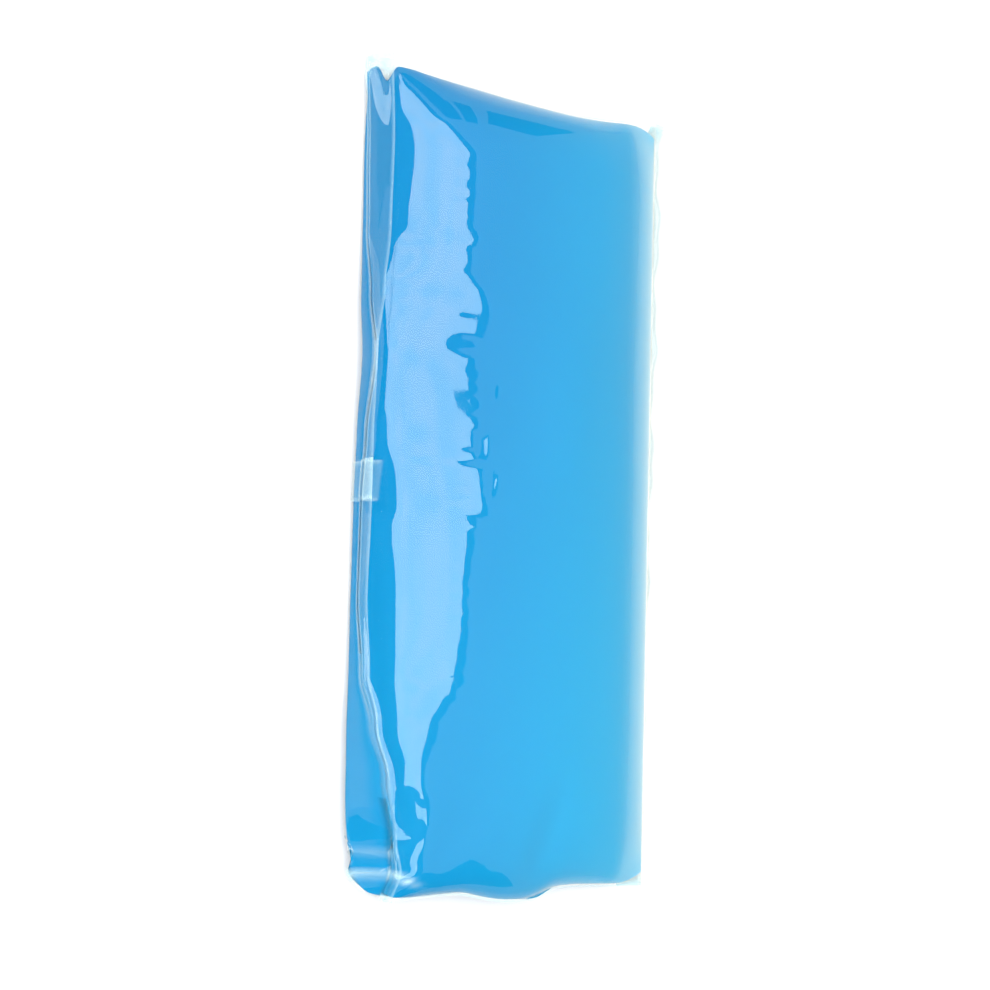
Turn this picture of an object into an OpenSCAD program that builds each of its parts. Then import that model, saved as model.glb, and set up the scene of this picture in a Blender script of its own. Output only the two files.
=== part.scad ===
// Reusable ice pack: a pillow pouch of clear film, filled with soft translucent gel.
// The film is a tube whose axis runs across the pack (X). Its overlap seam crosses the back,
// its two flat end seals run along the long sides (Y), and its plain ends are just folded round.
// It lies on its back, as it comes to rest: the left seal is folded up against the side of the
// gel, and the right seal is folded down and tucked under. Z = 0 is the table.

/* [Pouch] */
// Length between the two plain ends, at the corners of the film
pouch_l = 260; // [200:1:320]
// Width of the gel, from seal to seal
gel_w = 108; // [88:1:130]
// Height of the crown over the table
crown_h = 27; // [20:0.5:34]
// Place of the crown across the pack, left of the middle
crown_shift = 6; // [0:0.5:15]
// How far the crown sinks towards both ends
crown_sag = 2; // [0:0.25:4]
// Length over which each plain end rounds off
end_round = 22; // [14:0.5:30]
// Height of the fold line in the middle of a plain end, over the line between the seals
end_fold_h = 5; // [2:0.5:7]
// How far the top end draws in between its corners
top_draw = 7.5; // [0:0.5:9]
// How far the bottom end draws in between its corners
bottom_draw = 2; // [0:0.5:9]
// How far the soft crease pushes the bottom end out
end_tip = 4; // [0:0.5:4]

/* [Film] */
// Thickness of one layer of film
film_t = 0.3; // [0.2:0.05:0.5]
// Width of the flat seals along both long sides
side_seal_w = 10; // [7:0.5:12]
// Width of the overlap seam across the back
lap_w = 12; // [8:0.5:16]
// Thickness that the overlap adds
lap_t = 0.35; // [0.2:0.05:0.6]
// Place of the overlap seam along the pack
lap_y = -4; // [-30:1:30]
// Length of clear film past the gel, along the plain ends
end_margin = 0.8; // [0.6:0.1:1.5]

/* [Left seal] */
// How strongly the wall below the left seal bulges out
side_bulge = 1; // [0.5:0.05:1.2]
// Gap between the folded seal and the wall that it leans on
seal_gap = 1.1; // [0.9:0.1:1.5]

/* [Right seal] */
// Height of the right edge of the gel over the table
right_edge_h = 4.2; // [3.6:0.1:6]
// How far the right seal stands out at the top end before it turns under
tuck_out = 4.5; // [3:0.5:5.5]
// How far it stands out at the bottom end
tuck_out_bottom = 2; // [1.5:0.5:5.5]
// Depth of the waves in the turned edge
tuck_wave = 0.8; // [0:0.1:1.2]

/* [Corner ears] */
// Clear film past the gel at the top left corner
ear_top_left = 7; // [2:0.5:10]
// Clear film past the gel at the top right corner
ear_top_right = 6; // [2:0.5:10]
// Clear film past the gel at the bottom left corner
ear_bottom_left = 2; // [1.5:0.5:10]
// Clear film past the gel at the bottom right corner
ear_bottom_right = 5; // [2:0.5:10]
// How far each left ear reaches along the plain end
ear_reach_left = 6; // [5:1:14]
// How far each right ear reaches along the plain end
ear_reach = 14; // [8:1:20]

/* [Smoothness] */
// Columns across the gel
gel_columns = 26; // [20:2:28]
// Rows in each rounded end
end_rows = 6; // [4:1:6]
// Rows between the overlap seam and each rounded end
side_rows = 11; // [8:1:12]

/* [Hidden] */

half_l = pouch_l / 2;
half_w = gel_w / 2;
crown_x = -crown_shift;
straight = half_l - end_round - max(top_draw, bottom_draw);
lap_low = lap_y - lap_w / 2;
lap_high = lap_y + lap_w / 2;
lap_step = 0.8;
first_angle = 14;
least_fold = 0.3;

// How the plain ends draw in: middle of the curve, its reach to both sides, and its bluntness
draw_middle = 14;
draw_left = 60;
draw_right = 50;
draw_power = 0.7;

// Where the soft crease pushes the bottom end out, and its reach to both sides
tip_x = 6;
tip_left = 15;
tip_right = 7;

// Powers of the sine that give the gel's profile: left shoulder where the seal lies low and
// where it stands up, right shoulder, and the two sides of the back
low_seal_steep = 1.75;
high_seal_steep = 1.1;
right_steep = 1.55;
back_left_steep = 0.3;
back_right_steep = 0.5;
low_seal_angle = 55;
high_seal_angle = 100;
shoulder_from = 50;
shoulder_to = 120;
corner_round = 0.3;

// The gap of the left seal grows by this share from its cut edge to each next column
gap_growth = 0.25;

// Two waves of the right edge, in degrees for each mm, and the second one's share and start
long_wave = 9;
short_wave = 23;
short_share = 0.6;
short_start = 40;

// Shares that place the points of the turned edge between the gel and the table
turn_near = 0.55;
turn_drop = 0.25;
turn_mid_h = 0.42;
turn_back = 0.75;
turn_rise = 0.15;

// Path of the left seam: place along the half length, height as a share of the crown's,
// direction of the seal in degrees from the +X axis, how far the seam draws in, and how far
// the wall below it bulges out
left_seam = [
    [-1.00, 0.52, 104, 4.0, 1.5], [-0.86, 0.66, 108, 5.5, 9.0], [-0.72, 0.68, 105, 3.0, 7.0],
    [-0.60, 0.55, 103, 1.0, 5.0], [-0.48, 0.32, 100, 0.0, 3.0], [-0.30, 0.20, 98, 0.0, 2.5],
    [-0.08, 0.25, 94, 0.0, 2.5], [0.08, 0.33, 100, 0.0, 2.5], [0.27, 0.48, 110, 0.5, 2.5],
    [0.42, 0.34, 88, 0.0, 2.5], [0.58, 0.18, 64, 0.0, 2.0], [0.78, 0.13, 56, 0.0, 2.0],
    [1.00, 0.13, 56, -1.2, 2.0]
];

// Soft dents of the front: place across and along as shares, radii and depth
dents = [
    [-0.10, 0.52, 16, 14, 0.7], [-0.22, 0.10, 12, 16, 0.8], [-0.16, -0.28, 14, 12, 0.6],
    [0.16, -0.93, 4, 20, 1.4], [-0.42, -0.86, 8, 10, 1.2], [0.30, 0.30, 20, 30, -0.5]
];

function mix(a, b, t) = a + (b - a) * t;
function ease(t) = let(u = min(1, max(0, t))) u * u * (3 - 2 * u);
function unit(v) = norm(v) > 0 ? v / norm(v) : [0, 0, 1];

// Value of one column of the seam path at a place along the pack
function seam_at(y, column) =
    let(
        s = min(0.9999, max(-1, y / half_l)),
        k = [for (n = [0 : len(left_seam) - 2])
             if (s >= left_seam[n][0] && s < left_seam[n + 1][0]) n][0],
        t = (s - left_seam[k][0]) / (left_seam[k + 1][0] - left_seam[k][0])
    )
    mix(left_seam[k][column], left_seam[k + 1][column], ease(t));

// Rows along the pack: zone -2 and 2 are the clear ends, -1 and 1 the rounded ends, 0 between
rows = concat(
    [[-2, 1], [-2, 0.5]],
    [for (k = [0 : end_rows - 1]) [-1, 90 - 90 * k / end_rows]],
    [for (k = [0 : side_rows]) [0, mix(-straight, lap_low - lap_step, k / side_rows)]],
    [[0, lap_low], [0, lap_high]],
    [for (k = [0 : side_rows]) [0, mix(lap_high + lap_step, straight, k / side_rows)]],
    [for (k = [1 : end_rows]) [1, 90 * k / end_rows]],
    [[2, 0.5], [2, 1]]
);
seal_columns = 3;
tuck_columns = 4;
first_gel = seal_columns;
last_gel = seal_columns + gel_columns;
columns = last_gel + tuck_columns;
first_row = 2;
last_row = len(rows) - 3;

// Clear film past the gel, and the outline of the film's plain ends
function ear(x, left, right) =
    end_margin + (left - end_margin) * pow(max(0, 1 - (x + half_w) / ear_reach_left), 2)
    + (right - end_margin) * pow(max(0, 1 - (half_w - x) / ear_reach), 2);
function corner(x) = max(0, 1 - (half_w - abs(x)) / ear_reach);
function draw_in(x) =
    let(reach = x < draw_middle ? draw_left : draw_right)
    pow(max(0, cos(90 * min(1, abs(x - draw_middle) / reach))), draw_power);
function tip(x) = exp(-pow((x - tip_x) / (x < tip_x ? tip_left : tip_right), 2));
function film_end(x, zone) = zone > 0 ? half_l - top_draw * draw_in(x)
                                      : -half_l + bottom_draw * draw_in(x) - end_tip * tip(x);
function margin(x, zone) = zone > 0 ? ear(x, ear_top_left, ear_top_right)
                                    : ear(x, ear_bottom_left, ear_bottom_right);
function gel_end(x, zone) = film_end(x, zone) - sign(zone) * margin(x, zone);

// Place of a row along the pack, at one place across it
function row_y(row, x) =
    row[0] == 0 ? row[1]
    : abs(row[0]) == 1 ? mix(row[0] * straight, gel_end(x, row[0]), sin(row[1]))
    : mix(gel_end(x, row[0]), film_end(x, row[0]), row[1]);

// How full a row is: 1 between the ends, 0 where front and back meet
function fullness(row) = row[0] == 0 ? 1 : abs(row[0]) == 1 ? cos(row[1]) : 0;

// Angle of a gel column round the pack, from the left seal at 0 to the right one at 180
function gel_angle(c) = c == 0 ? 0 : mix(first_angle, 180, (c - 1) / (gel_columns - 1));

// Place of a gel column across the pack, from its angle and the draw of the seam
function column_x(angle, inset) =
    angle < 90 ? crown_x - (crown_x + half_w - inset) * cos(angle)
               : crown_x - (half_w - crown_x) * cos(angle);

function dent_sum(x, y) = let(
    d = [for (p = dents)
         p[4] * exp(-pow((x / half_w - p[0]) * half_w / p[2], 2)
                    - pow((y / half_l - p[1]) * half_l / p[3], 2))])
    d * [for (p = dents) 1];

// A point of the gel's surface: side 1 is the front, side 0 the back
function gel_point(angle, row, side) =
    let(
        rough_x = column_x(angle, 0),
        y = row_y(row, rough_x),
        x = column_x(angle, seam_at(y, 3)),
        keen = 1 + corner(rough_x),
        blunt = mix(corner_round, 1, ease(angle / 90)),
        f = pow(fullness(row), side == 0 && row[0] < 0 && angle < 90 ? blunt : keen),
        line_f = pow(fullness(row), keen),
        share = (x + half_w) / gel_w,
        seam_z = mix(crown_h * seam_at(y, 1), right_edge_h, ease(share)),
        line_z = seam_z + (1 - line_f) * end_fold_h * sin(angle),
        crown_z = crown_h - film_t - crown_sag * pow(y / half_l, 2),
        standing = ease((seam_at(y, 2) - low_seal_angle) / (high_seal_angle - low_seal_angle)),
        left_steep = mix(low_seal_steep, high_seal_steep, standing),
        rightward = ease((angle - shoulder_from) / (shoulder_to - shoulder_from)),
        steep = mix(left_steep, right_steep, rightward),
        front_z = (crown_z - seam_z) * pow(sin(angle), steep)
                  - dent_sum(x, y) * sin(angle),
        flat = angle < 90 ? back_left_steep : back_right_steep,
        back_z = (film_t - seam_z) * pow(sin(angle), flat),
        bulge = side == 0 && angle < 45 ? side_bulge * seam_at(y, 4) * f * sin(4 * angle) : 0
    )
    [x - bulge, y, line_z + f * (side == 1 ? front_z : back_z)];

// The left seal: from the seam to its cut edge, leaning on the side of the gel
function left_seal_point(k, row) =
    let(
        root = gel_point(0, row, 1),
        d = side_seal_w * (seal_columns - k) / seal_columns,
        lean = seam_at(root[1], 2),
        shift = k == seal_columns ? 0 : seal_gap * (1 + gap_growth * k)
    )
    root + [d * cos(lean) - shift * sin(lean), 0, d * sin(lean) + shift * cos(lean)];

// The right seal: out past the gel, then turned under
function right_seal_point(k, row) =
    let(
        root = gel_point(180, row, 1),
        reach = mix(tuck_out_bottom, tuck_out, ease((root[1] / half_l + 1) / 2)),
        wave = tuck_wave * (sin(root[1] * long_wave)
                            + short_share * sin(root[1] * short_wave + short_start)),
        out = reach + wave * reach / tuck_out,
        back = side_seal_w - out,
        low = film_t
    )
    k == 1 ? root + [out * turn_near, 0, -turn_drop * (root[2] - low)]
    : k == 2 ? [root[0] + out, root[1], mix(low, root[2], turn_mid_h)]
    : k == 3 ? [root[0] + out * turn_back, root[1], low + turn_rise]
    : [root[0] + out - back, root[1], low];

function layer(side) = [for (row = rows) [for (c = [0 : columns])
    c < first_gel ? left_seal_point(c, row)
    : c > last_gel ? right_seal_point(c - last_gel, row)
    : gel_point(gel_angle(c - first_gel), row, side)]];

// How each point of a grid moves when its sheet gets a thickness of 1: halfway between the
// normals of the faces round it, and further in a sharp fold
function lifts(grid) = [for (j = [0 : len(rows) - 1]) [for (i = [0 : columns])
    let(
        p = grid[j][i],
        sides = [for (east = [-1, 1]) for (north = [-1, 1])
            if (i + east >= 0 && i + east <= columns && j + north >= 0 && j + north < len(rows))
            unit(east * north * cross(grid[j][i + east] - p, grid[j + north][i] - p))],
        n = unit([for (s = sides) 1] * sides)
    )
    n / max(least_fold, min([for (s = sides) n * s]))]];

// Extra thickness of the overlap seam, which shows wherever the back leaves the table
function lap_extra(row, z) =
    row[0] == 0 && row[1] >= lap_low && row[1] <= lap_high
    ? lap_t * ease((z - film_t) / 2) : 0;

function lifted(grid, lift, direction, with_lap) =
    [for (j = [0 : len(grid) - 1]) [for (i = [0 : columns])
        let(
            t = film_t + (with_lap ? lap_extra(rows[j], grid[j][i][2]) : 0),
            p = grid[j][i] + direction * t * lift[j][i]
        )
        [p[0], p[1], max(0, p[2])]]];
function flat_list(grid) = [for (row = grid) for (p = row) p];
front = layer(1);
back = layer(0);
film_front = lifted(front, lifts(front), 1, false);
film_back = lifted(back, lifts(back), -1, true);

// Middle of the film's own box, which goes over the origin
film_points = concat(flat_list(film_front), flat_list(film_back));
film_x = [for (p = film_points) p[0]];
film_y = [for (p = film_points) p[1]];
to_centre = -[max(film_x) + min(film_x), max(film_y) + min(film_y), 0] / 2;

// The two triangles of a grid's square; the cut runs towards the middle of the grid
function split(a, b, c, d, rising) = rising ? [[a, b, c], [a, c, d]] : [[a, b, d], [b, c, d]];

// A closed sheet: two grids of points, and walls round their rims
module thick_sheet(upper, lower) {
    nj = len(upper) - 1;
    ni = len(upper[0]) - 1;
    middle = first_gel + gel_columns / 2;
    w = ni + 1;
    count = (nj + 1) * w;
    top_faces = [for (j = [0 : nj - 1]) for (i = [0 : ni - 1])
        for (f = split(j * w + i, (j + 1) * w + i, (j + 1) * w + i + 1, j * w + i + 1,
                       (j < nj / 2) == (i < middle))) f];
    bottom_faces = [for (f = top_faces) [f[2] + count, f[1] + count, f[0] + count]];
    rim = concat(
        [for (i = [0 : ni - 1]) i],
        [for (j = [0 : nj - 1]) j * w + ni],
        [for (i = [ni : -1 : 1]) nj * w + i],
        [for (j = [nj : -1 : 1]) j * w]
    );
    rim_faces = [for (k = [0 : len(rim) - 1]) let(a = rim[k], b = rim[(k + 1) % len(rim)])
        for (f = [[a, b, b + count], [a, b + count, a + count]]) f];
    polyhedron(points = concat(flat_list(upper), flat_list(lower)),
               faces = concat(top_faces, bottom_faces, rim_faces), convexity = 6);
}

// A closed lens: two grids of points that share their rim
module lens(upper, lower) {
    nj = len(upper) - 1;
    ni = len(upper[0]) - 1;
    w = ni + 1;
    count = (nj + 1) * w;
    function low(j, i) = (j == 0 || j == nj || i == 0 || i == ni ? 0 : count) + j * w + i;
    top_faces = [for (j = [0 : nj - 1]) for (i = [0 : ni - 1])
        for (f = split(j * w + i, (j + 1) * w + i, (j + 1) * w + i + 1, j * w + i + 1,
                       (j < nj / 2) == (i < ni / 2))) f];
    bottom_faces = [for (j = [0 : nj - 1]) for (i = [0 : ni - 1])
        for (f = split(low(j, i), low(j + 1, i), low(j + 1, i + 1), low(j, i + 1),
                       (j < nj / 2) == (i < ni / 2))) [f[2], f[1], f[0]]];
    polyhedron(points = concat(flat_list(upper), flat_list(lower)),
               faces = concat(top_faces, bottom_faces), convexity = 6);
}

function gel_part(grid) = [for (j = [first_row : last_row])
    [for (i = [first_gel : last_gel]) grid[j][i]]];

module gel_body() lens(gel_part(front), gel_part(back));

module film_pouch() color([0.85, 0.93, 0.97, 0.5]) translate(to_centre) difference() {
    thick_sheet(film_front, film_back);
    gel_body();
}

module gel_fill() color([0.1, 0.62, 0.9]) translate(to_centre) gel_body();

film_pouch();
gel_fill();
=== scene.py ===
import bpy
import math
import numpy as np
from mathutils import Matrix, Vector
from mathutils.kdtree import KDTree


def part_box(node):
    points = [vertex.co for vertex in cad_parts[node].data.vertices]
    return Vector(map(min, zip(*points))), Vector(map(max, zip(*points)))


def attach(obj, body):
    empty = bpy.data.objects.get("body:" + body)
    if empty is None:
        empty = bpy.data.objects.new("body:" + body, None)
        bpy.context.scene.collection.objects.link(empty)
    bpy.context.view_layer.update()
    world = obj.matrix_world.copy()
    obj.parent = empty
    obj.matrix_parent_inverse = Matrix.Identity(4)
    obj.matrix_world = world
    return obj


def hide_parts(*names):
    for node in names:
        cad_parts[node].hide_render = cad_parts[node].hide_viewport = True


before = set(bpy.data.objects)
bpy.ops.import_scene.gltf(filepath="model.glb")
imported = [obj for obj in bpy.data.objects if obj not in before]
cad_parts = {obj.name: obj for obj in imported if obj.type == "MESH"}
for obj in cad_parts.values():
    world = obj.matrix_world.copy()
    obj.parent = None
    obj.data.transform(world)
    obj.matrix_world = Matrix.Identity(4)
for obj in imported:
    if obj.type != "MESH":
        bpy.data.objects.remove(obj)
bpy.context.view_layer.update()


# Shader maths: a socket that takes Python's own operators, in the node tree that is being made.
class Value:
    def __init__(self, tree, socket):
        self.tree = tree
        self.socket = socket

    def node(self, kind, settings=None, inputs=None, output=0):
        made = self.tree.nodes.new(kind)
        for name, setting in (settings or {}).items():
            setattr(made, name, setting)
        for name, given in (inputs or {}).items():
            if isinstance(given, Value):
                self.tree.links.new(given.socket, made.inputs[name])
            else:
                made.inputs[name].default_value = given
        return Value(self.tree, made.outputs[output])

    def maths(self, operation, first, second=None):
        inputs = {0: first}
        if second is not None:
            inputs[1] = second
        return self.node("ShaderNodeMath", {"operation": operation}, inputs)

    def __add__(self, other):
        return self.maths("ADD", self, other)

    def __sub__(self, other):
        return self.maths("SUBTRACT", self, other)

    def __mul__(self, other):
        return self.maths("MULTIPLY", self, other)

    def __pow__(self, other):
        return self.maths("POWER", self, other)

    def __radd__(self, other):
        return self.maths("ADD", other, self)

    def __rsub__(self, other):
        return self.maths("SUBTRACT", other, self)

    def __rmul__(self, other):
        return self.maths("MULTIPLY", other, self)

    def greatest(self, other):
        return self.maths("MAXIMUM", self, other)

    def mixed(self, low, high):
        settings = {"data_type": "RGBA", "clamp_factor": True}
        return self.node("ShaderNodeMix", settings, {0: self, 6: low, 7: high}, 2)


def new_material(name):
    material = bpy.data.materials.new(name)
    material.use_nodes = True
    tree = material.node_tree
    tree.nodes.clear()
    return material, Value(tree, None)


def attribute(start, name):
    return start.node("ShaderNodeAttribute", {"attribute_name": name}, None, 2)


def finish_material(start, shader):
    output = start.tree.nodes.new("ShaderNodeOutputMaterial")
    start.tree.links.new(shader.socket, output.inputs["Surface"])


# The form of the sheet, in millimetres, that the film and the gel share. Across the pack it runs
# from the left seal's cut edge over the gel to the right seal's; along it, from end to end.
pouch_l = 260
gel_w = 108
crown_h = 27
crown_x = -6
crown_sag = 2
end_round = 22
end_fold_h = 5
top_draw = 7.5
bottom_draw = 2
end_tip = 4
corner_round = 0.3
film_t = 0.3
side_seal_w = 10
lap_w = 12
lap_t = 0.35
lap_y = -4
end_margin = 0.8
seal_gap = 1.1
right_edge_h = 4.2
tuck_out = 4.5
tuck_out_bottom = 2
tuck_wave = 0.8
ears = {-1: (2, 5), 1: (7, 6)}
ear_reach_left = 6
ear_reach = 14
notch_x = -48.2
notch_wide = 2.2
notch_deep = 6.5
notch_ease = 2
half_l = pouch_l / 2
half_w = gel_w / 2
straight = half_l - end_round - top_draw
lap_low = lap_y - lap_w / 2
lap_high = lap_y + lap_w / 2

left_seam = np.array([
    [-1.00, 0.52, 104, 9.0, 11.0], [-0.93, 0.62, 106, 11.0, 14.0], [-0.86, 0.66, 106, 8.5, 12.0],
    [-0.72, 0.68, 103, 4.5, 8.5], [-0.60, 0.55, 102, 1.8, 5.6], [-0.48, 0.34, 98, 0.6, 3.4],
    [-0.30, 0.22, 96, 0.3, 2.7],
    [-0.08, 0.25, 94, 0.0, 2.5], [0.08, 0.33, 100, 0.0, 2.5], [0.27, 0.48, 110, 0.5, 2.5],
    [0.42, 0.34, 88, 0.0, 2.5], [0.58, 0.18, 64, 0.0, 2.0], [0.78, 0.13, 56, 0.0, 2.0],
    [1.00, 0.13, 56, -1.2, 2.0]])
dents = [[-0.10, 0.52, 16, 14, 0.7], [-0.22, 0.10, 12, 16, 0.8], [-0.16, -0.28, 14, 12, 0.6],
         [0.16, -0.93, 4, 20, 1.4], [-0.42, -0.86, 8, 10, 1.2], [0.30, 0.30, 20, 30, -0.5]]


def mix(low, high, share):
    return low + (high - low) * share


def ease(share):
    u = np.clip(share, 0, 1)
    return u * u * (3 - 2 * u)


def seam_at(y, column):
    place = np.clip(y / half_l, -1, 0.9999)
    k = np.searchsorted(left_seam[:, 0], place, side="right") - 1
    share = (place - left_seam[k, 0]) / (left_seam[k + 1, 0] - left_seam[k, 0])
    return mix(left_seam[k, column], left_seam[k + 1, column], ease(share))


def sines(degrees):
    return np.sin(np.radians(degrees))


def cosines(degrees):
    return np.cos(np.radians(degrees))


# Rows as pairs: which zone (clear end, rounded end or the straight length) and the place in it.
end_steps = 16
rows = [(-2, 1), (-2, 0.5)]
rows += [(-1, 90 - 90 * k / end_steps) for k in range(end_steps)]
rows += [(0, y) for y in np.linspace(-straight, lap_low - 0.4, 66)]
rows += [(0, y) for y in np.linspace(lap_low, lap_high, 9)]
rows += [(0, y) for y in np.linspace(lap_high + 0.4, straight, 72)]
rows += [(1, 90 * k / end_steps) for k in range(1, end_steps + 1)]
rows += [(2, 0.5), (2, 1)]
zone = np.array([row[0] for row in rows])[:, None]
value = np.array([row[1] for row in rows], float)[:, None]
sign = np.sign(zone)
fullness = np.where(zone == 0, 1, np.where(abs(zone) == 1, cosines(value), 0))


def draw_in(x):
    reach = np.where(x < 14, 60, 50)
    return np.maximum(0, cosines(90 * np.minimum(1, abs(x - 14) / reach))) ** 0.7


def film_end(x):
    tip = np.exp(-((x - 6) / np.where(x < 6, 15, 7)) ** 2)
    low_end = -half_l + bottom_draw * draw_in(x) - end_tip * tip
    return np.where(sign > 0, half_l - top_draw * draw_in(x), low_end)


def gel_end(x):
    left = np.where(sign > 0, ears[1][0], ears[-1][0])
    right = np.where(sign > 0, ears[1][1], ears[-1][1])
    from_left = np.maximum(0, 1 - (x + half_w) / ear_reach_left) ** 2
    dip = notch_deep * np.exp(-((x - notch_x) / notch_wide) ** 2)
    notch = np.where(sign > 0, dip - notch_ease * from_left, 0)
    from_right = np.maximum(0, 1 - (half_w - x) / ear_reach) ** 2
    margin = end_margin + (left - end_margin) * from_left + (right - end_margin) * from_right
    return film_end(x) - sign * (margin + notch)


def row_y(x):
    rounded = mix(sign * straight, gel_end(x), sines(value))
    clear = mix(gel_end(x), film_end(x), value)
    return np.where(zone == 0, value, np.where(abs(zone) == 1, rounded, clear))


def gel_points(angles, side):
    a = np.array(angles, float)[None, :]
    width = np.where(a < 90, crown_x + half_w, half_w - crown_x)
    rough_x = crown_x - width * cosines(a)
    y = row_y(rough_x)
    inset = np.where(a < 90, seam_at(y, 3), 0)
    x = crown_x - (width - inset) * cosines(a)
    keen = 1 + np.maximum(0, 1 - (half_w - abs(rough_x)) / ear_reach)
    blunt = np.where((zone < 0) & (a < 90), mix(corner_round, 1, ease(a / 90)), keen)
    line_f = fullness ** keen
    f = line_f if side else fullness ** blunt
    seam_z = mix(crown_h * seam_at(y, 1), right_edge_h, ease((x + half_w) / gel_w))
    line_z = seam_z + (1 - line_f) * end_fold_h * sines(a)
    crown_z = crown_h - film_t - crown_sag * (y / half_l) ** 2
    left_steep = mix(1.75, 1.1, ease((seam_at(y, 2) - 55) / 45))
    steep = mix(left_steep, 1.55, ease((a - 50) / 70))
    bow = np.clip(sines(a), 0, 1)
    dent = sum(deep * np.exp(-((x - u * half_w) / wide) ** 2 - ((y - v * half_l) / long) ** 2)
               for u, v, wide, long, deep in dents)
    front_z = (crown_z - seam_z) * bow ** steep - dent * bow
    back_z = (film_t - seam_z) * bow ** np.where(a < 90, 0.3, 0.5)
    bulge = np.where(a < 45, seam_at(y, 4) * f * sines(4 * a), 0) * (1 - side)
    z = line_z + f * (front_z if side else back_z)
    return np.stack([x - bulge, y, z], axis=2)


# A smooth curve through the points of every row, with so many steps between two of them.
def through(points, steps):
    ends = [2 * points[:, :1] - points[:, 1:2], points, 2 * points[:, -1:] - points[:, -2:-1]]
    p = np.concatenate(ends, axis=1)
    before, start, end, after = p[:, :-3], p[:, 1:-2], p[:, 2:-1], p[:, 3:]
    parts = []
    for step in range(steps):
        t = step / steps
        parts.append(0.5 * (2 * start + (end - before) * t
                            + (2 * before - 5 * start + 4 * end - after) * t ** 2
                            + (3 * start - before - 3 * end + after) * t ** 3))
    smooth = np.stack(parts, axis=2).reshape(points.shape[0], -1, 3)
    return np.concatenate([smooth, points[:, -1:]], axis=1)


gel_angles = [0] + list(np.linspace(14, 180, 25))


def sheet(side):
    gel = gel_points(gel_angles, side)
    root = gel[:, :1]
    lean = seam_at(root[:, :, 1], 2)
    seal = []
    for d, gap in ((10, 1), (6.667, 1.25), (3.333, 1.5)):
        gap = gap * seal_gap
        across = d * cosines(lean) - gap * sines(lean)
        up = d * sines(lean) + gap * cosines(lean)
        seal.append(root + np.stack([across, 0 * across, up], axis=2))
    edge = gel[:, -1]
    x, y, z = edge[:, 0], edge[:, 1], edge[:, 2]
    reach = mix(tuck_out_bottom, tuck_out, ease((y / half_l + 1) / 2))
    waves = tuck_wave * (sines(y * 9) + 0.6 * sines(y * 23 + 40))
    out = reach + waves * reach / tuck_out
    tuck = [edge, np.stack([x + out * 0.55, y, z - 0.25 * (z - film_t)], axis=1),
            np.stack([x + out, y, mix(film_t, z, 0.42)], axis=1),
            np.stack([x + out * 0.75, y, film_t + 0.15 + 0 * z], axis=1),
            np.stack([x + 2 * out - side_seal_w, y, film_t + 0 * z], axis=1)]
    left = through(np.concatenate(seal + [root], axis=1), 3)
    middle = through(gel, 4)
    right = through(np.stack(tuck, axis=1), 3)
    return np.concatenate([left[:, :-1], middle, right[:, 1:]], axis=1)


first_gel = 9
last_gel = first_gel + 4 * (len(gel_angles) - 1)


# The shoulder of the front: a soft ridge line that wanders along the pack. Each row is shifted
# across so that its slope falls to the shoulder's where this path runs, with small creases. The
# trough is a shallow dip beside the left seam, deepest towards the bottom.
shoulder_path = np.array([
    [-131, -50], [-116, -50], [-108, -43], [-98, -34.5], [-92, -32], [-81, -31.3], [-63, -29.5],
    [-39, -28.5], [-20, -27], [-8, -28.6], [4, -26.5], [12, -23], [22, -22.5], [30, -25],
    [40, -28.4], [57, -31.5], [75, -30.6], [90, -32], [131, -34]])
trough_path = np.array([
    [-131, 0], [-105, 1.5], [-92, 3.0], [-57, 2.8], [-36, 2.0], [-24, 0.6], [-16, 0.6],
    [-13, 2.0], [-4, 1.5], [6, 0.3], [40, 0], [131, 0]])
shoulder_slope = 0.22
most_left = -8
most_right = 5
wall_start = -54
wall_ease = 32
front_end = 26
front_ease = 34
crease_height = 0.06
crease_reach = 2.5
trough_middle = 2.5
trough_wide = 3.2
trough_start = 1.5
dimples = [[-19.5, 25, 1.3, 3.5, 0.22], [-22.5, 8, 1.2, 4.0, 0.2], [-19.0, -3, 1.1, 5.0, 0.2]]


def shoulder_shift(grid):
    x, y, z = grid[:, :, 0], grid[:, :, 1], grid[:, :, 2]
    slope = np.gradient(z, axis=1) / np.maximum(0.001, np.gradient(x, axis=1))
    found = []
    for row in range(len(grid)):
        steep = np.nonzero((slope[row] > shoulder_slope) & (x[row] < crown_x))[0]
        found.append(x[row, steep[-1]] if len(steep) else shoulder_path[-1, 1])
    kernel = np.exp(-(np.arange(-24, 25) / 10) ** 2)
    found = np.convolve(np.pad(found, 24, mode="edge"), kernel / kernel.sum(), mode="valid")
    place = y[:, 25]
    wanted = np.interp(place, shoulder_path[:, 0], shoulder_path[:, 1])
    eased = np.convolve(np.pad(wanted, 24, mode="edge"), kernel / kernel.sum(), mode="valid")
    return np.clip(eased - found, most_left, most_right)[:, None], wanted[:, None]


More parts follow.
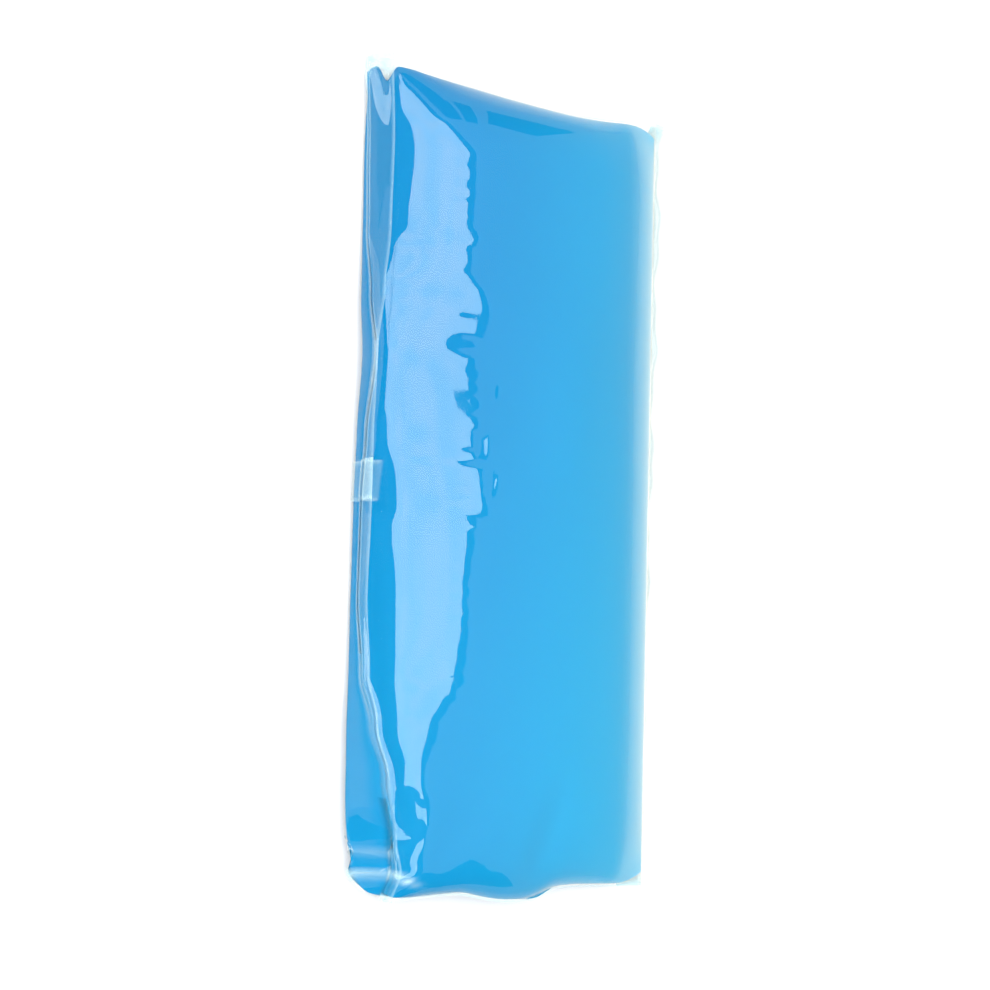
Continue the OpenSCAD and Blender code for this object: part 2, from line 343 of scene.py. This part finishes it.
def wandering(points):
    middle = points[:, first_gel:last_gel + 1]
    x = middle[:, :, 0]
    share = ease((x - wall_start) / wall_ease) * ease((front_end - x) / front_ease)
    shift_x, ridge = shoulder_shift(middle)
    y = middle[:, :, 1]
    creases = 0.9 * np.sin(y / 0.95) * np.sin(y / 8.3)
    creases += 0.8 * np.sin(y / 0.6 + 1) * np.sin(y / 13 + 2)
    near = np.exp(-((x + shift_x * share - ridge) / crease_reach) ** 2)
    middle[:, :, 0] = x + shift_x * share
    middle[:, :, 2] += crease_height * creases * near
    x = middle[:, :, 0]
    for u, v, wide, long, deep in dimples:
        middle[:, :, 2] -= deep * np.exp(-((x - u) / wide) ** 2 - ((y - v) / long) ** 2)
    foot = middle[:, :1, 0]
    deep = np.interp(middle[:, :1, 1], trough_path[:, 0], trough_path[:, 1])
    trough = np.exp(-((x - foot - trough_middle) / trough_wide) ** 2)
    middle[:, :, 2] -= deep * trough * ease((x - foot) / trough_start)
    return points


# Halfway between the normals of the four faces at each point, and further in a sharp fold.
def lifts(grid):
    padded = np.pad(grid, ((1, 1), (1, 1), (0, 0)), mode="reflect", reflect_type="odd")
    p = padded[1:-1, 1:-1]
    normals = []
    for east in (-1, 1):
        for north in (-1, 1):
            along = padded[1:-1, 1 + east:padded.shape[1] - 1 + east] - p
            up = padded[1 + north:padded.shape[0] - 1 + north, 1:-1] - p
            n = east * north * np.cross(along, up)
            normals.append(n / np.maximum(1e-9, np.linalg.norm(n, axis=2, keepdims=True)))
    middle = sum(normals)
    middle = middle / np.maximum(1e-9, np.linalg.norm(middle, axis=2, keepdims=True))
    least = np.min([np.sum(middle * n, axis=2) for n in normals], axis=0)
    return middle / np.maximum(0.4, least)[:, :, None]


front = wandering(sheet(1))
back = sheet(0)
corner_y = back[:, :, 1]
columns = np.arange(back.shape[1])
on_wall = (columns > first_gel) * ease((first_gel + 22 - columns) / 12)
corner_valleys = [[-122, 3.2, 0.7], [-115.5, 1.2, -0.5], [-118.4, 0.9, -0.35]]
knob = sum(deep * np.exp(-((corner_y - v) / long) ** 2) for v, long, deep in corner_valleys)
back -= lifts(back) * (knob * on_wall)[:, :, None]
on_lap = (zone == 0) & (value >= lap_low) & (value <= lap_high)
lap = np.where(on_lap, lap_t, 0) * ease((back[:, :, 2] - film_t) / 2)
film_front = front + lifts(front) * film_t
film_back = back - lifts(back) * (film_t + lap)[:, :, None]
for grid in (film_front, film_back):
    grid[:, :, 2] = np.maximum(0, grid[:, :, 2])

# The middle of the CAD's box lies over the origin; the sheet is moved by as much as the CAD was.
every_point = np.concatenate([film_front.reshape(-1, 3), film_back.reshape(-1, 3)])
middle = (every_point.max(0) + every_point.min(0)) / 2
shift = Vector((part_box("gel_fill")[1].x - 0.001 * half_w, -0.001 * middle[1], 0))


# One primitive grid whose points are put where the sheet's are; it becomes the active object.
def grid_object(name, points, flipped):
    nj, ni = points.shape[:2]
    bpy.ops.object.select_all(action="DESELECT")
    bpy.ops.mesh.primitive_grid_add(x_subdivisions=ni - 1, y_subdivisions=nj - 1, size=2)
    made = bpy.context.object
    made.name = name
    flat = np.zeros(nj * ni * 3)
    made.data.vertices.foreach_get("co", flat)
    flat = flat.reshape(-1, 3)
    i = np.rint((flat[:, 0] + 1) / 2 * (ni - 1)).astype(int)
    j = np.rint((flat[:, 1] + 1) / 2 * (nj - 1)).astype(int)
    placed = points[j, i] * 0.001 + np.array(shift)
    made.data.vertices.foreach_set("co", placed.ravel())
    made.data.update()
    if flipped:
        bpy.ops.object.mode_set(mode="EDIT")
        bpy.ops.mesh.select_all(action="SELECT")
        bpy.ops.mesh.flip_normals()
        bpy.ops.object.mode_set(mode="OBJECT")
    return made


def joined(objects):
    bpy.ops.object.select_all(action="DESELECT")
    for item in objects:
        item.select_set(True)
    bpy.context.view_layer.objects.active = objects[0]
    bpy.ops.object.join()
    return objects[0]


def set_attribute(piece, name, values):
    held = piece.data.attributes.new(name, "FLOAT", "POINT")
    held.data.foreach_set("value", np.asarray(values, np.float32))


# Gives each point of a piece the values of the sheet's nearest point, under their names.
def paint(piece, named):
    nj, ni = front.shape[:2]
    tree = KDTree(2 * nj * ni)
    for side in (film_front, film_back):
        for k, point in enumerate(side.reshape(-1, 3)):
            tree.insert(point, k)
    tree.balance()
    nearest = [tree.find(point)[1] for point in points_of(piece)]
    for name, values in named.items():
        set_attribute(piece, name, np.broadcast_to(values, (nj, ni)).ravel()[nearest])


def points_of(piece):
    flat = np.zeros(len(piece.data.vertices) * 3)
    piece.data.vertices.foreach_get("co", flat)
    return flat.reshape(-1, 3) * 1000 - np.array(shift) * 1000


# The gel: one closed body of soft azure gel that fills the pouch, made of the front and the back
# of the sheet between the seals, 0.05 mm inside the film, and paler where it runs out thin.
gel_front = front[2:-2, first_gel:last_gel + 1]
gel_back = back[2:-2, first_gel:last_gel + 1]
gel_top = grid_object("gel_top", gel_front - lifts(gel_front) * 0.05, False)
gel_low = grid_object("gel_low", gel_back + lifts(gel_back) * 0.05, True)
gel = joined([gel_top, gel_low])
gel.name = "gel"
bpy.ops.object.mode_set(mode="EDIT")
bpy.ops.mesh.select_all(action="DESELECT")
bpy.ops.mesh.select_non_manifold(extend=False, use_wire=False, use_multi_face=False)
bpy.ops.mesh.bridge_edge_loops()
bpy.ops.object.mode_set(mode="OBJECT")
bpy.ops.object.shade_smooth()
spots = points_of(gel)
set_attribute(gel, "thin", ease((spots[:, 0] - 34) / 25))
# Painted shade: the lit value mixes a darker and a lighter copy of the blue, so the gel is darker
# towards the left seal and the top end and lighter towards the right and the bottom.
across = 0.75 * ease((spots[:, 0] + 40) / 100) + 0.25 * ease((60 - spots[:, 1]) / 160)
set_attribute(gel, "lit", across)
gel_look, start = new_material("blue_gel")
thin = attribute(start, "thin")
deep = attribute(start, "lit").mixed((0.001, 0.165, 0.37, 1), (0.005, 0.295, 0.51, 1))
gel_colour_and_painted_shade = thin.mixed(deep, (0.17, 0.45, 0.60, 1))
gel_shader = start.node("ShaderNodeBsdfPrincipled", None, {
    "Base Color": gel_colour_and_painted_shade, "Roughness": 0.45, "Specular IOR Level": 0.04,
    "Subsurface Weight": 0.2, "Subsurface Scale": 0.004})
finish_material(start, gel_shader)
gel.data.materials.append(gel_look)
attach(gel, "root")
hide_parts("gel_fill")

# The pouch: one closed skin of clear glossy film 0.3 mm thick round the sheet, with both long
# seals, the four ears and the overlap seam, and the wall of the gel's cavity inside it.
skin = joined([grid_object("skin_front", film_front, False),
               grid_object("skin_back", film_back, True)])
bpy.ops.object.mode_set(mode="EDIT")
bpy.ops.mesh.select_all(action="DESELECT")
bpy.ops.mesh.select_non_manifold(extend=False, use_wire=False, use_multi_face=False)
bpy.ops.mesh.bridge_edge_loops()
bpy.ops.object.mode_set(mode="OBJECT")
wall = joined([grid_object("wall_front", gel_front, True),
               grid_object("wall_back", gel_back, False)])
bpy.ops.object.mode_set(mode="EDIT")
bpy.ops.mesh.select_all(action="SELECT")
bpy.ops.mesh.remove_doubles(threshold=0.000001)
bpy.ops.object.mode_set(mode="OBJECT")
film_look, start = new_material("clear_film")
facing = start.node("ShaderNodeLayerWeight", None, {"Blend": 0.5}, 1)
gloss_share = (0.04 + 0.96 * facing ** 5) * attribute(start, "gloss")
# This attribute lays a pale milky layer over the film. It holds real haze in the seals, the tuck, the
# lap and the clear ends, and painted highlights along the cut edges, the root crease, the rims and the
# folds.
haze_and_highlight = attribute(start, "haze_and_highlight")
body = start.node("ShaderNodeBsdfPrincipled", None, {
    "Base Color": (0.52, 0.76, 0.82, 1), "Roughness": 0.3, "Alpha": haze_and_highlight})
gloss = start.node("ShaderNodeBsdfPrincipled", None, {
    "Base Color": (1, 0.96, 0.80, 1), "Metallic": 1, "Roughness": 0.03})
finish_material(start, start.node("ShaderNodeMixShader", None,
                                  {0: gloss_share, 1: body, 2: gloss}))
wet_look, start = new_material("film_on_gel")
finish_material(start, start.node("ShaderNodeBsdfTransparent", None, {"Color": (1, 1, 1, 1)}))
skin.data.materials.append(film_look)
wall.data.materials.append(wet_look)
film = joined([skin, wall])
film.name = "film"
bpy.ops.object.shade_smooth_by_angle(angle=math.radians(50))
columns = columns[None, :]
y = front[:, :, 1]
on_left = ease((y + 90) / 30)
# Partly real haze, partly painted light. The seal, tuck, lap, end and ear strips are hazier film. The
# lines at the cut edge, the root crease, the edges of the tuck and the lap, and the rims of the ends
# and the ears are painted highlights.
clear_haze = 0.004
seal_haze = 0.015
cut_edge_painted_highlight = 0.13
root_painted_highlight = 0.34
tuck_haze = 0.14
tuck_edge_painted_highlight = 0.25
lap_haze = 0.12
lap_edge_painted_highlight = 0.18
end_haze = 0.1
end_rim_painted_highlight = 0.15
ear_haze = 0.12
ear_rim_painted_highlight = 0.3
glint_painted_highlight = 0.75
fold_painted_highlight = 0.35
rim = abs(zone) == 2
near_ear = columns < first_gel + 14
near_lap = columns < first_gel + 8
lap_edges = ((value == lap_low) | (value == lap_high)) & (zone == 0)
haze_and_highlight = np.full(front.shape[:2], clear_haze)
haze_and_highlight += seal_haze * (columns < first_gel)
haze_and_highlight += cut_edge_painted_highlight * (columns == 0)
haze_and_highlight += root_painted_highlight * (columns == first_gel) * on_left
haze_and_highlight += tuck_haze * (columns > last_gel) + tuck_edge_painted_highlight * (columns == front.shape[1] - 1)
haze_and_highlight += lap_haze * (on_lap & (columns <= first_gel + 8))
haze_and_highlight += lap_edge_painted_highlight * (lap_edges & near_lap)
haze_and_highlight += end_haze * rim + end_rim_painted_highlight * (rim & (value == 1))
haze_and_highlight += ear_haze * (zone == 2) * near_ear + ear_rim_painted_highlight * (zone == 2) * (value == 1) * near_ear
x = front[:, :, 0]
# Painted highlights at the bottom-left corner: two pale crease lines, a glint on the bulge and a bright
# diagonal fold line.
corner = (y < -112) & (columns >= first_gel)
for strength, place, slope, wide, end in ((0.14, 116.4, 0.12, 0.5, -41), (0.08, 118.6, 0.05, 0.4, -44)):
    line = np.exp(-((y + place - slope * (x + 50)) / wide) ** 2)
    haze_and_highlight += strength * corner * line * ease((end - x) / 3)
glint = np.exp(-((x + 42.5) / 4) ** 2 - ((y + 123.4 + 0.35 * (x + 42.5)) / 0.9) ** 2)
haze_and_highlight += glint_painted_highlight * corner * glint
haze_and_highlight += fold_painted_highlight * corner * np.exp(-((x + y + 175.2) / 0.6) ** 2) * ease((-42 - x) / 3)
gloss = np.ones(front.shape[:2])
gloss *= np.where(columns < first_gel + 2, 0.25, 1)
paint(film, {"haze_and_highlight": haze_and_highlight, "gloss": gloss})
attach(film, "root")
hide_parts("film_pouch")

# The surroundings: a white floor, a soft lamp over the left side that gloss doesn't show, cut
# sheets lit or black that only gloss shows, black flags past both ends, and a white room.
bpy.ops.object.select_all(action="DESELECT")
bpy.ops.mesh.primitive_plane_add(size=1.8)
floor = bpy.context.object
floor.name = "floor"
floor_look, start = new_material("floor")
floor_shader = start.node("ShaderNodeBsdfPrincipled", None, {
    "Base Color": (0.72, 0.72, 0.72, 1), "Roughness": 1, "Specular IOR Level": 0})
finish_material(start, floor_shader)
floor.data.materials.append(floor_look)


def towards(angle, distance):
    turn = Matrix.Rotation(math.radians(angle), 3, "Y")
    return turn @ Vector((0, 0, distance)), turn


lamp_angle = -25
lamp_distance = 1.2
lamp_glow = 5.5
bpy.ops.object.light_add(type="AREA")
lamp = bpy.context.object
lamp.name = "soft_lamp"
lamp.location, turn = towards(lamp_angle, lamp_distance)
lamp.rotation_euler = turn.to_euler()
lamp.data.shape = "RECTANGLE"
lamp.data.size = 1.33
lamp.data.size_y = 1.15
lamp.data.energy = lamp_glow * math.pi * lamp.data.size * lamp.data.size_y
lamp.visible_camera = False
lamp.visible_glossy = False

bright_look, start = new_material("lit_sheet")
spot = start.node("ShaderNodeTexCoord", None, None, 3)
cloud = start.node("ShaderNodeTexNoise", None, {"Vector": spot, "Scale": 4, "Detail": 1}, 0)
glow = (cloud * 3 - 1).mixed((0.76, 0.90, 1, 1), (1, 1, 1, 1))
finish_material(start, start.node("ShaderNodeBsdfPrincipled", None, {
    "Base Color": (0, 0, 0, 1), "Specular IOR Level": 0, "Emission Color": glow,
    "Emission Strength": 6.4}))
flag_look, start = new_material("flag")
finish_material(start, start.node("ShaderNodeBsdfPrincipled", None, {
    "Base Color": (0.0, 0.0, 0.0, 1), "Roughness": 1, "Specular IOR Level": 0}))
for name, look, distance, outline in (
        ("lit_sheet", bright_look, lamp_distance, (
            (0.665, -0.2), (0.665, 0.12), (0.82, 0.16), (0.84, 0.27), (0.665, 0.34), (0.60, 0.46),
            (0.50, 0.56), (0.20, 0.75), (-0.3, 1.3), (-0.35, 1.74), (-0.6, 3.0), (-0.9, 3.0),
            (-0.9, 1.6), (-0.95, 1.0), (-0.92, 0.62), (-0.90, 0.42), (-0.68, 0.3), (-0.665, -0.22))),
        ("lit_corner", bright_look, lamp_distance, (
            (0.2, -0.32), (0.665, -0.28), (0.665, -0.42), (0.2, -0.66), (-0.3, -0.7))),
        ("dark_sheet", flag_look, 1.25, (
            (0.79, -0.8), (0.79, 0.12), (0.94, 0.16), (0.96, 0.3), (0.80, 0.38), (0.72, 0.53),
            (0.62, 0.64), (0.33, 0.87), (-0.10, 1.4), (-0.2, 1.9),
            (-0.4, 3.2), (-2.3, 3.2), (-2.3, -0.8)))):
    bpy.ops.object.select_all(action="DESELECT")
    bpy.ops.mesh.primitive_circle_add(vertices=len(outline), fill_type="NGON")
    panel = bpy.context.object
    panel.name = name
    place, turn = towards(lamp_angle, distance)
    for vertex, (across, along) in zip(panel.data.vertices, outline):
        vertex.co = turn @ Vector((across, along, 0)) + place
    panel.data.materials.append(look)
    panel.visible_diffuse = False
    panel.visible_shadow = False
    panel.visible_camera = False
for name, y, left, right, low, high in (
        ("far_flag_left", 1.2, -0.3, 0.07, 0.35, 0.95), ("far_flag_middle", 1.2, 0.13, 0.3, 0.3, 1.0),
        ("far_flag_right", 1.2, 0.42, 0.95, 0.3, 0.85), ("near_flag", -1.2, -0.4, 0.9, 0.3, 2.2)):
    bpy.ops.object.select_all(action="DESELECT")
    bpy.ops.mesh.primitive_plane_add(size=1)
    flag = bpy.context.object
    flag.name = name
    for vertex in flag.data.vertices:
        vertex.co = (mix(left, right, vertex.co.x + 0.5), y, mix(low, high, vertex.co.y + 0.5))
    flag.data.materials.append(flag_look)
    flag.visible_diffuse = False
    flag.visible_shadow = False
    flag.visible_camera = False

world = bpy.data.worlds.new("room")
bpy.context.scene.world = world
world.use_nodes = True
world.node_tree.nodes.clear()
start = Value(world.node_tree, None)
camera_ray = start.node("ShaderNodeLightPath", None, None, 0)
glossy_ray = start.node("ShaderNodeLightPath", None, None, 3)
clear_ray = start.node("ShaderNodeLightPath", None, None, 6)
seen = camera_ray.greatest(glossy_ray).greatest(clear_ray)
room = start.node("ShaderNodeBackground", None, {
    "Color": (1, 1, 1, 1), "Strength": 0.85 + 0.15 * seen})
output = world.node_tree.nodes.new("ShaderNodeOutputWorld")
world.node_tree.links.new(room.socket, output.inputs["Surface"])

# The camera: 65 cm from the pack, at its left and high over it, turned so that the pack stands
# upright in the picture.
azimuth = math.radians(-79)
height = math.radians(59)
roll = math.radians(1.46)
target = Vector((-0.0096, -0.0043, 0.010))
away = Vector((math.sin(azimuth) * math.cos(height), -math.cos(azimuth) * math.cos(height),
               math.sin(height)))
right = Vector((0, 1, 0)).cross(away).normalized()
up = away.cross(right)
right, up = (math.cos(roll) * right + math.sin(roll) * up,
             math.cos(roll) * up - math.sin(roll) * right)
bpy.ops.object.camera_add()
camera = bpy.context.object
camera.matrix_world = (Matrix.Translation(target + away * 0.65)
                       @ Matrix((right, up, away)).transposed().to_4x4())
camera.data.sensor_width = 36
camera.data.lens = 36 * 2058 / 990
bpy.context.scene.camera = camera
bpy.context.scene.view_settings.view_transform = "Standard"
